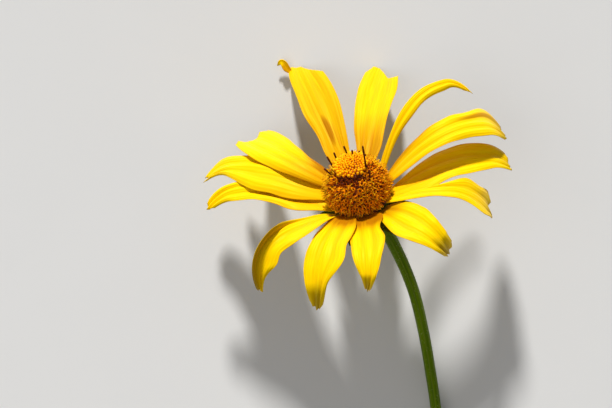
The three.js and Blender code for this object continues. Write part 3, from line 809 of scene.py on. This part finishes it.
def stage_of(place, r, h):
    """How far open the floret at a seat is, or on which side of the disc a ripe one stands."""
    side, back = place.dot(HEAD_SIDE), place.dot(HEAD_BACK)
    towards_hollow = side * math.cos(HOLLOW_TURN) + back * math.sin(HOLLOW_TURN)
    if h > DISC_BRIM and r < BUD_CAP_RADIUS:
        return "edge bud" if r > EDGE_BUD_RADIUS else "bud"
    # Painted shadow in part: the dark young florets carried on over the side in the mound's shadow
    if h > DISC_BRIM and r < HOLLOW_RADIUS and towards_hollow > HOLLOW_COSINE * r:
        return "hollow"
    if h > DISC_BRIM and r < RING_RADIUS:
        return "ring"
    # Painted light: the far side, which faces the key light, gets the golden copy of the corolla
    return "far" if r > RIM_RADIUS and back > SUNNY_SIDE else "near"


def floret_seats(looks):
    """Place and stance of every floret by its stage, in a spiral from the disc's foot to its crown."""
    profile = disc_profile()
    step = np.diff(profile, axis=0)
    radii = (profile[1:, 0] + profile[:-1, 0]) / 2
    crowding = np.where(radii < BUD_CAP_RADIUS, looks.bud_crowding, 1.0)
    filled = np.concatenate([[0], np.cumsum(radii * np.linalg.norm(step, axis=1) * crowding)])
    outward = unit(np.stack([step[:, 1], -step[:, 0]], axis=1))
    outward = np.concatenate([outward, outward[-1:]])
    seats = {}
    for n in range(looks.floret_count):
        part = filled[-1] * (n + 0.5) / looks.floret_count
        r, h, out, up = (np.interp(part, filled, values) for values in (*profile.T, *outward.T))
        h += mound(r)
        place = round_head(r, n * GOLDEN_ANGLE, h)
        stand = unit(round_head(out, n * GOLDEN_ANGLE, up))
        seats.setdefault(stage_of(place, r, h), []).append((place, stand))
    seats["ripe"] = seats["far"] + seats["near"]
    return seats


def seat_cloud(name, seats, sink, size):
    """Loose points that carry a stance and a size for the copies that will stand on them."""
    cloud = add_piece(name, np.array([place - stand * sink for place, stand in seats]) + HEAD, [])
    store(cloud, "FLOAT_VECTOR", stand=[stand for place, stand in seats])
    store(cloud, size=[size] * len(seats))
    return cloud


# Finishes of the disc: name, roughness, tones of the foot and of the tip, and sheen of the surface
SATIN = {"Specular_IOR_Level": 0.1, "Specular_Tint": (1.0, 0.6, 0.2, 1.0)}
DULL = {"Specular_IOR_Level": 0.15}
DISC_FINISHES = {
    "anther": ("Maroon anther tube", 0.7, "anther_colour", "anther_tip_colour", DULL),
    "corolla": ("Orange corolla", 0.6, "corolla_colour", "lobe_colour", SATIN),
    # Painted light: a lighter golden copy of the corolla for the sunlit far side
    "sunny": ("Golden corolla", 0.6, "bud_colour", "stigma_colour", SATIN),
    # Also used in the hollow, where it is partly painted shadow of the mound
    "dusky": ("Brown young corolla", 0.6, "anther_tip_colour", "corolla_colour", SATIN),
    "stigma": ("Yellow stigma", 0.5, "lobe_colour", "stigma_colour", SATIN),
    "bud": ("Golden bud", 0.55, "corolla_colour", "bud_colour", SATIN),
}

# Parts of the florets: shape, stage, depth to which the foot is sunk, size, lean and finish
FLORET_PARTS = {
    "disc_corollas": (corolla_shape, "near", 1.85, 1.45, 0.15, "corolla"),
    # Painted light: golden corollas on the far side that faces the key light
    "disc_far_corollas": (corolla_shape, "far", 1.9, 1.35, 0.15, "sunny"),
    "disc_young_corollas": (corolla_shape, "ring", 2.0, 1.1, 0.1, "dusky"),
    "disc_young_anthers": (anther_shape, "ring", 2.1, 1.25, 0.2, "anther"),
    # Painted shadow in part: dark florets, sunk deeper, where the mound's shadow falls
    "disc_hollow_corollas": (corolla_shape, "hollow", 2.3, 1.1, 0.1, "dusky"),
    "disc_hollow_anthers": (anther_shape, "hollow", 2.35, 1.25, 0.2, "anther"),
    "disc_ripe_anthers": (anther_shape, "near", 2.2, 1.1, 0.2, "anther"),
    "disc_far_anthers": (anther_shape, "far", 2.3, 1.0, 0.2, "anther"),
    "disc_stigmas": (stigma_shape, "ripe", 1.7, 1.1, 0.5, "stigma"),
    "disc_edge_buds": (bud_shape, "edge bud", 0.5, 1.05, 0.15, "bud"),
    "disc_buds": (bud_shape, "bud", 0.5, 0.78, 0.12, "bud"),
}


def build_disc(looks):
    seats = floret_seats(looks)
    tree = seat_tree()
    finishes = {}
    for label, (name, roughness, foot, tip, sheen) in DISC_FINISHES.items():
        tones = getattr(looks, foot), getattr(looks, tip)
        finishes[label] = tissue_material(name, roughness, *tones, **sheen)
    for name, (make_shape, stage, sink, size, lean, label) in FLORET_PARTS.items():
        cloud = seat_cloud(name + "_seats", seats[stage], sink, size)
        shape = shape_object(name + "_shape", make_shape())
        piece = grow(name, cloud, tree, Shape=shape, Lean=lean, Size_Spread=looks.size_spread,
                     Seed=looks.seed, Material=finishes[label])
        discard(cloud, shape)
        settle(piece, "disc")
    build_core(looks)
    build_long_anthers(finishes["anther"])


def lathe(profile, sides):
    """A closed round body from its outline, whose ends are on the axis."""
    points, faces = rings_of([(r, h, 0) for r, h in profile[1:-1]], sides, 1)
    points = [(0, 0, profile[0][1]), *points, (0, 0, profile[-1][1])]
    top = len(points) - 1 - sides
    for j in range(sides):
        k = (j + 1) % sides
        faces += [[0, 1 + k, 1 + j], [top + j, top + k, len(points) - 1]]
    return np.array([from_head(*point) for point in points]), faces


def build_core(looks, inset=0.85, steps=24, sides=64):
    """The dark ground that shows between the florets."""
    foot = DISC_FOOT_RADIUS
    profile = [(0, 0.05), (foot - 0.1, 0.05), (foot, 0.4), (foot, 2.0)]
    for i in range(steps):
        r, h = dome(i / steps)
        profile.append((r - inset, h - inset * i / steps))
    profile.append((0, DISC_HEIGHT - inset))
    points, faces = lathe(profile, sides)
    core = add_piece("disc_core", points + HEAD, faces)
    store(core, rise=np.zeros(len(points)), tone=np.full(len(points), 0.3))
    ground = tissue_material("Dark ground of the disc", 0.8, looks.ground_colour, looks.anther_colour)
    settle(core, "disc", ground)


def build_long_anthers(material):
    """The few long anther tubes of the florets that have just opened at the far rim."""
    radii, heights = zip(*(dome(1 - k / 60) for k in range(61)))
    rings = [(0.19, -0.3, 0), (0.22, 0.5, 0), (0.25, 0.75, 0), (0.22, 0.95, 0), (0.05, 1.0, 0)]
    stick, faces = tube(rings, 7)
    tubes = []
    for turn, r, reach in LONG_ANTHERS:
        way = np.array(reach)
        foot = HEAD + round_head(r, math.radians(turn), np.interp(r, radii, heights) + mound(r))
        tubes.append((stood(stick, foot, unit(np.cross(way, HEAD_BACK)), way), faces))
    points, faces = merged(*tubes)
    piece = add_piece("disc_long_anthers", points, faces)
    store(piece, rise=[z for x, y, z in stick] * len(tubes), tone=[0.5] * len(points))
    settle(piece, "disc", material)


def bract_surface(turn, bract, wander, rows=26, columns=13):
    """Middle surface of a pointed bract that springs from the cup's side."""
    s, t = np.linspace(0, 1, rows)[:, None], np.linspace(1, -1, columns)[None, :]
    slope = np.radians(bract["rise"] + (bract["fall"] - bract["rise"]) * s[:-1])
    step = bract["length"] / (rows - 1)
    start = np.zeros((1, 1))
    out = bract["root"] + np.concatenate([start, np.cumsum(np.cos(slope) * step, axis=0)]) + 0 * t
    height = bract["height"] + np.concatenate([start, np.cumsum(np.sin(slope) * step, axis=0)])
    half = bract["width"] / 2 * (0.7 + 0.9 * s) * (1 - s**2.4) + BRACT_POINT / 2 * (1 - 0.7 * s)
    keel = BRACT_KEEL * (half * np.abs(t) + np.cos(3 * math.pi * t) * (1 - s**2))
    wave = BRACT_WAVE * np.abs(t) ** 3 * np.sin(9 * s + wander + 2 * t)
    x = out * math.cos(turn) + half * t * math.sin(turn)
    y = out * math.sin(turn) - half * t * math.cos(turn)
    z = height + keel + wave
    return from_head(x[..., None], y[..., None], z[..., None]), s + 0 * t, t + 0 * s


def build_involucre(looks):
    leaf = green_material(
        "Downy green bract", 0.62, looks.bract_dark, looks.bract_light, looks.pale_rib, 1.5)
    bracts = build_bracts(looks)
    build_cup(leaf)
    down = add_hairs("bract_down", bracts, looks, "Pale down", 0.5, looks.bract_hair, looks.bract_down,
                     Lean=0.7, Size_Spread=0.35)
    settle(bracts, "involucre", leaf)
    settle(down, "involucre")


def build_bracts(looks):
    draw = random.Random(looks.seed)
    points, faces, kept = [], [], []
    for n in range(BRACT_COUNT):
        for row in BRACT_ROWS:
            turn = 2 * math.pi * (n + row["offset"]) / BRACT_COUNT
            bract = dict(row, length=row["short"]) if n == row["stunted"] else row
            wander = draw.uniform(*SHIFTS)
            grid, s, t = bract_surface(turn, bract, wander)
            thickness = BRACT_THICKNESS * (0.4 + 0.6 * np.clip((1 - np.abs(t)) * 4, 0, 1))
            faces += sheet_faces(*s.shape, len(points))
            points += list(shell(grid, thickness))
            kept += [(t, s, 1 - np.clip(np.abs(t) * 5, 0, 1), wander + 0 * s)] * 2
    bracts = add_piece("green_bracts", np.array(points) + HEAD, faces)
    store(bracts, **dict(zip(("across", "along", "ridge", "wander"), zip(*kept))))
    return bracts


def build_cup(material):
    bottom = -GAP - CUP_DEPTH
    fine = np.linspace(0, 1, 26)
    radii, heights = (through(values, fine) for values in zip(*CUP_FLANK))
    profile = [(0, bottom), *zip(radii, bottom + heights), (0, bottom + CUP_DEPTH)]
    points, faces = lathe(profile, CUP_SIDES)
    cup = add_piece("green_cup", points + HEAD, faces)
    angles = np.arctan2(points @ HEAD_BACK, points @ HEAD_SIDE)
    store(cup, across=np.cos(angles) * 2, along=np.sin(angles) * 2, ridge=0 * angles, wander=0 * angles)
    settle(cup, "involucre", material)


def add_hairs(name, surface, looks, finish_name, roughness, length, density, **values):
    """Short hairs all over a surface, as one mesh."""
    pale = tissue_material(finish_name, roughness, looks.hair_colour, looks.hair_colour)
    tree = bpy.data.node_groups.get("Hairs on a surface") or hair_tree()
    hair = shape_object(name + "_shape", hair_shape(length / MM))
    hairs = grow(name, surface, tree, Shape=hair, Density=density / MM**2, Seed=looks.seed,
                 Material=pale, **values)
    discard(hair)
    return hairs


def stem_course(steps=24):
    """Points along the stem's middle and their radii, from the cup to the cut end."""
    top = -2 * GAP - CUP_DEPTH
    course = [from_head(0, 0, top), from_head(0.1, 0, top - STEM_STRAIGHT)]
    course += [np.array(place, float) for place in STEM_COURSE]
    ghosts = [2 * course[0] - course[1]] + course + [2 * course[-1] - course[-2]]
    knots = [0.0]
    for a, b in zip(ghosts, ghosts[1:]):
        knots.append(knots[-1] + math.sqrt(np.linalg.norm(b - a)))
    points = []
    for k in range(1, len(course)):
        for t in np.linspace(knots[k], knots[k + 1], steps, endpoint=False):
            points.append(curve_point(ghosts[k - 1: k + 3], knots[k - 1: k + 3], t))
    points = np.array(points + [course[-1]])
    reach = np.concatenate([[0], np.cumsum(np.linalg.norm(np.diff(points, axis=0), axis=1))])
    even = np.linspace(0, 1, STEM_STEPS)
    points = np.stack([np.interp(even, reach / reach[-1], points[:, k]) for k in range(3)], axis=1)
    return points + HEAD, STEM_RADIUS + (STEM_TOP_RADIUS - STEM_RADIUS) * (1 - even) ** STEM_TAPER


def curve_point(p, k, t):
    """A point of the curve through four points whose knots follow the roots of their distances."""
    def between(a, b, ka, kb):
        return a * ((kb - t) / (kb - ka)) + b * ((t - ka) / (kb - ka))

    a1, a2, a3 = (between(p[i], p[i + 1], k[i], k[i + 1]) for i in range(3))
    b1, b2 = between(a1, a2, k[0], k[2]), between(a2, a3, k[1], k[3])
    return between(b1, b2, k[1], k[2])


def stem_tree():
    """A ribbed tube along a curve whose points carry its radius."""
    tree, given, made = new_group(
        "Ribbed stem", "GeometryNodeTree",
        {"Geometry": "Geometry", "Sides": 48, "Ribs": 8.0, "Rib Height": 0.03, "Material": "Material"},
        {"Geometry": "Geometry"})
    circle = add_node(
        tree, "GeometryNodeCurvePrimitiveCircle", {"Resolution": given["Sides"], "Radius": 1.0})
    index = add_node(tree, "GeometryNodeInputIndex").outputs[0]
    angle = maths(tree, "DIVIDE", times(tree, index, 2 * math.pi), given["Sides"])
    wave = maths(tree, "COSINE", times(tree, angle, given["Ribs"]))
    swell = times(tree, wave, given["Rib Height"])
    place = add_node(tree, "GeometryNodeInputPosition").outputs[0]
    offset = add_node(tree, "ShaderNodeVectorMath", {0: place}, operation="SCALE")
    tree.links.new(swell, offset.inputs["Scale"])
    ribbed = add_node(
        tree, "GeometryNodeSetPosition", {"Geometry": circle.outputs[0], "Offset": offset.outputs[0]})
    section = ribbed.outputs[0]
    around = times(tree, maths(tree, "SINE", angle), 3.0)
    for label, value in (("across", maths(tree, "COSINE", angle)), ("wander", around), ("ridge", wave)):
        section = keep_value(tree, section, label, value)
    reach = add_node(tree, "GeometryNodeSplineParameter").outputs["Factor"]
    skin = add_node(
        tree, "GeometryNodeCurveToMesh",
        {"Curve": keep_value(tree, given["Geometry"], "along", reach), "Profile Curve": section,
         "Scale": add_node(tree, "GeometryNodeInputRadius").outputs[0], "Fill Caps": True})
    soft = add_node(tree, "GeometryNodeSetShadeSmooth", {"Geometry": skin.outputs[0]})
    finish_tree(tree, given, made, soft.outputs[0])
    return tree


def course_curve(name, points, radii):
    """A curve object of straight steps, in metres, whose points carry a radius."""
    curve = bpy.data.curves.new(name, "CURVE")
    curve.dimensions = "3D"
    spline = curve.splines.new("POLY")
    spline.points.add(len(points) - 1)
    for knot, place, radius in zip(spline.points, points, radii):
        knot.co = (*(place * MM), 1.0)
        knot.radius = radius * MM
    return add_object(name, curve)


def build_stem(looks):
    points, radii = stem_course()
    course = course_curve("stem_course", points, radii)
    skin = green_material("Ribbed green stem", 0.5, looks.stem_dark, looks.stem_light, looks.pale_rib, 9.0)
    stem = grow("green_stem", course, stem_tree(), Sides=STEM_SIDES, Ribs=STEM_RIBS,
                Rib_Height=looks.rib_height / STEM_RADIUS / MM, Material=skin)
    discard(course)
    hairs = add_hairs("stem_hairs", stem, looks, "Stiff pale hair", 0.45, looks.stem_hair, looks.stem_down,
                      Bare_Below=HAIR_CLEARANCE * looks.stem_hair, Lean=0.6, Size_Spread=0.4)
    settle(stem, "stem")
    settle(hairs, "stem")
    build_cut(points, radii[-1], looks)


def build_cut(points, radius, looks):
    """The pale, slightly hollow cut face at the stem's end."""
    way = unit(points[-1] - points[-2])
    side = unit(np.cross(way, [0.0, 0.0, 1.0]))
    face, faces = tube([(radius * share, height, 0) for share, height in CUT_RINGS], CUT_SIDES)
    cut = add_piece("stem_cut", stood(face, points[-1], side, way), faces)
    shares = np.repeat([share for share, height in CUT_RINGS], CUT_SIDES)
    rises = np.interp(shares, [0.5, 0.75, 0.9, 1.0], [1.0, 0.7, 0.9, 0.0])
    store(cut, rise=rises, tone=np.full(len(face), 0.5))
    pith = tissue_material("Cut face of the stem", 0.6, looks.stem_dark, looks.pith_colour)
    settle(cut, "stem", pith)


def build_stage(looks):
    """A pale floor, one crisp key light, soft fill from all round and the camera straight above."""
    scene = bpy.context.scene
    half = looks.floor_size / 2
    corners = [(-half, -half), (half, -half), (half, half), (-half, half)]
    mesh = bpy.data.meshes.new("floor")
    mesh.from_pydata([(x, y, FLOOR_DROP) for x, y in corners], [], [[0, 1, 2, 3]])
    floor = add_object("floor", mesh)
    floor.data.materials.append(floor_material(looks.floor_colour))

    key = add_light("key", "SUN", looks.key_strength, KEY_FROM)
    key.data.angle = looks.key_softness
    fill = add_light("fill", "AREA", looks.fill_strength, FILL_PLACE)
    fill.data.size = FILL_SIZE
    fill.location = FILL_PLACE

    world = bpy.data.worlds.new("Studio")
    world.use_nodes = True
    backdrop = world.node_tree.nodes["Background"]
    backdrop.inputs["Color"].default_value = colour(looks.world_colour)
    backdrop.inputs["Strength"].default_value = looks.world_strength
    scene.world = world
    scene.view_settings.view_transform = "Standard"

    lens = bpy.data.cameras.new("camera")
    lens.lens = CAMERA_LENS
    lens.sensor_width = CAMERA_SENSOR
    lens.clip_start = 0.01
    camera = add_object("camera", lens)
    camera.location = [value * MM for value in HEAD + np.array(CAMERA_PLACE)]
    scene.camera = camera


def add_light(name, kind, strength, direction):
    """A light that shines on the flower from a direction."""
    light = bpy.data.lights.new(name, kind)
    light.energy = strength
    lamp = add_object(name, light)
    lamp.rotation_euler = Vector(direction).to_track_quat("Z", "Y").to_euler()
    return lamp


def floor_material(pale):
    """Pale paper with faint, soft stains."""
    material, tree, shader = new_material("Pale paper floor", 0.85)
    place = add_node(tree, "ShaderNodeTexCoord").outputs["Object"]
    grain = add_node(tree, "ShaderNodeTexNoise", {"Vector": place, "Scale": 40.0, "Detail": 4.0})
    shade = ramp(tree, grain.outputs["Fac"], 0.3, 0.7, 0.0, 0.06)
    darker = [channel * 0.85 for channel in pale]
    tree.links.new(blend_colours(tree, shade, colour(pale), colour(darker)), shader.inputs["Base Color"])
    return material


def length_property(label, text, default):
    return bpy.props.FloatProperty(
        name=label, description=text, default=default, unit="LENGTH", subtype="DISTANCE", precision=5)


def number_property(label, text, default, **kind):
    return bpy.props.FloatProperty(name=label, description=text, default=default, **kind)


def count_property(label, text, default):
    return bpy.props.IntProperty(name=label, description=text, default=default)


def colour_property(label, text, default):
    return bpy.props.FloatVectorProperty(
        name=label, description=text, default=default, size=3, min=0, max=1, subtype="COLOR")


class RayLooks(bpy.types.PropertyGroup):
    """Sizes and colours of the rays"""

    thickness: length_property("Thickness", "Thickness of a ray along its middle", 0.0003)
    vein_height: length_property("Vein height", "Height of the fine veins", 0.00003)
    vein_count: count_property("Veins", "Fine veins from middle to edge", 12)
    edge_wave: length_property("Edge wave", "How far the edges of a ray wave up and down", 0.00025)
    blade_colour: colour_property("Blade", "Yellow of a ray", (0.92, 0.62, 0.001))
    root_colour: colour_property("Root", "Golden yellow near the root", (0.88, 0.44, 0.001))
    # Painted shade in the furrows of the pleats
    furrow_shade_colour: colour_property("Furrow", "Orange in the furrows", (0.72, 0.27, 0.001))
    under_colour: colour_property("Underside", "Yellow of the underside", (0.82, 0.56, 0.01))
    # Partly the rays' own golden brown, partly painted shadow in creases, folds and at shaded roots
    brown_and_shadow_colour: colour_property("Crease", "Brown of creases and shadows", (0.42, 0.15, 0.001))
    # Painted shade: olive brown on tips and margins that turn away from the light
    olive_shade_colour: colour_property("Shaded", "Olive brown of shaded tips and edges", (0.27, 0.17, 0.003))
    seed: count_property("Seed", "Seed of the rays' small differences", 5)


class DiscLooks(bpy.types.PropertyGroup):
    """Sizes and colours of the disc"""

    floret_count: count_property("Florets", "Number of florets", 390)
    bud_crowding: number_property("Bud crowding", "How much closer the unopened florets stand", 5.0)
    size_spread: number_property(
        "Size spread", "How much the florets differ in size", 0.14, subtype="FACTOR")
    corolla_colour: colour_property("Corolla", "Orange of a floret's tube", (1.0, 0.22, 0.002))
    lobe_colour: colour_property("Lobes", "Golden orange of its lobes", (1.0, 0.36, 0.003))
    anther_colour: colour_property("Anthers", "Maroon of the anther tubes", (0.07, 0.004, 0.002))
    anther_tip_colour: colour_property("Anther tips", "Brown of their tips", (0.13, 0.02, 0.003))
    stigma_colour: colour_property("Stigmas", "Yellow of the stigmas", (1.0, 0.52, 0.006))
    bud_colour: colour_property("Buds", "Golden orange of the unopened florets", (1.0, 0.52, 0.002))
    ground_colour: colour_property("Ground", "Dark ground between the florets", (0.15, 0.03, 0.001))
    seed: count_property("Seed", "Seed of the florets' small differences", 3)


class GreenLooks(bpy.types.PropertyGroup):
    """Sizes and colours of the bracts and the stem"""

    bract_dark: colour_property("Bract, dark", "Darker green of a bract", (0.045, 0.07, 0.004))
    bract_light: colour_property("Bract, light", "Lighter green of a bract", (0.11, 0.14, 0.006))
    stem_dark: colour_property("Stem, dark", "Darker green of the stem", (0.065, 0.13, 0.001))
    stem_light: colour_property("Stem, light", "Lighter green of the stem", (0.125, 0.21, 0.001))
    pale_rib: colour_property("Ribs", "Pale green of ribs and margins", (0.17, 0.2, 0.03))
    hair_colour: colour_property("Hairs", "Colour of the hairs", (0.4, 0.45, 0.18))
    pith_colour: colour_property("Pith", "Colour of the cut stem's middle", (0.55, 0.6, 0.3))
    stem_hair: length_property("Stem hair", "Length of a stem hair", 0.00042)
    bract_hair: length_property("Bract hair", "Length of a bract hair", 0.00035)
    rib_height: length_property("Rib height", "Height of the stem's ribs", 0.00004)
    stem_down: number_property("Stem hairs", "Hairs on a square millimetre", 1.3)
    bract_down: number_property("Bract hairs", "Hairs on a square millimetre", 1.4)
    seed: count_property("Seed", "Seed of the hairs and leaf shapes", 7)


class StageLooks(bpy.types.PropertyGroup):
    """Floor and light"""

    floor_size: length_property("Floor size", "Side of the square floor", 4.0)
    floor_colour: colour_property("Floor", "Colour of the floor", (0.72, 0.71, 0.69))
    world_colour: colour_property("Surroundings", "Colour of the soft light all round", (0.95, 0.97, 1.0))
    world_strength: number_property("Surroundings", "Strength of the light all round", 0.25)
    key_strength: number_property("Key", "Strength of the key light", 4.5)
    key_softness: number_property(
        "Key softness", "Width of the key light as seen from the flower", math.radians(6), subtype="ANGLE")
    fill_strength: number_property("Fill", "Power of the soft light above", 2.2, unit="POWER")


class FLOWER_OT_rays(bpy.types.Operator):
    """Builds the thirteen rays"""

    bl_idname = "flower.rays"
    bl_label = "Build the rays"

    def execute(self, context):
        looks = context.scene.ray_looks
        build_rays(looks, petal_material(looks))
        return {"FINISHED"}


class FLOWER_OT_disc(bpy.types.Operator):
    """Builds the disc of florets"""

    bl_idname = "flower.disc"
    bl_label = "Build the disc"

    def execute(self, context):
        build_disc(context.scene.disc_looks)
        return {"FINISHED"}


class FLOWER_OT_involucre(bpy.types.Operator):
    """Builds the green cup and its bracts"""

    bl_idname = "flower.involucre"
    bl_label = "Build the involucre"

    def execute(self, context):
        build_involucre(context.scene.green_looks)
        return {"FINISHED"}


class FLOWER_OT_stem(bpy.types.Operator):
    """Builds the stem with its hairs and cut face"""

    bl_idname = "flower.stem"
    bl_label = "Build the stem"

    def execute(self, context):
        build_stem(context.scene.green_looks)
        return {"FINISHED"}


class FLOWER_OT_stage(bpy.types.Operator):
    """Sets the floor, the lights and the camera"""

    bl_idname = "flower.stage"
    bl_label = "Set the stage"

    def execute(self, context):
        build_stage(context.scene.stage_looks)
        return {"FINISHED"}


class FLOWER_PT_panel(bpy.types.Panel):
    """Lists the steps and their sizes and colours"""

    bl_label = "Cut false sunflower"
    bl_idname = "FLOWER_PT_panel"
    bl_space_type = "VIEW_3D"
    bl_region_type = "UI"
    bl_category = "Flower"

    def draw(self, context):
        for label, looks_name, steps in PANEL_ROWS:
            box = self.layout.box()
            box.label(text=label)
            looks = getattr(context.scene, looks_name)
            for name in looks.__annotations__:
                box.prop(looks, name)
            for step in steps:
                box.operator(step)


PANEL_ROWS = [
    ("Rays", "ray_looks", ("flower.rays",)),
    ("Disc", "disc_looks", ("flower.disc",)),
    ("Green parts", "green_looks", ("flower.involucre", "flower.stem")),
    ("Stage", "stage_looks", ("flower.stage",)),
]
LOOKS = dict(ray_looks=RayLooks, disc_looks=DiscLooks, green_looks=GreenLooks, stage_looks=StageLooks)
CLASSES = [
    *LOOKS.values(), FLOWER_OT_rays, FLOWER_OT_disc, FLOWER_OT_involucre, FLOWER_OT_stem, FLOWER_OT_stage,
    FLOWER_PT_panel]


def register():
    for item in CLASSES:
        bpy.utils.register_class(item)
    for name, looks in LOOKS.items():
        setattr(bpy.types.Scene, name, bpy.props.PointerProperty(type=looks))


def unregister():
    for name in LOOKS:
        delattr(bpy.types.Scene, name)
    for item in reversed(CLASSES):
        bpy.utils.unregister_class(item)


def main():
    register()
    bpy.ops.flower.rays()
    bpy.ops.flower.disc()
    bpy.ops.flower.involucre()
    bpy.ops.flower.stem()
    bpy.ops.flower.stage()
    bpy.context.view_layer.update()


if __name__ == "__main__":
    main()
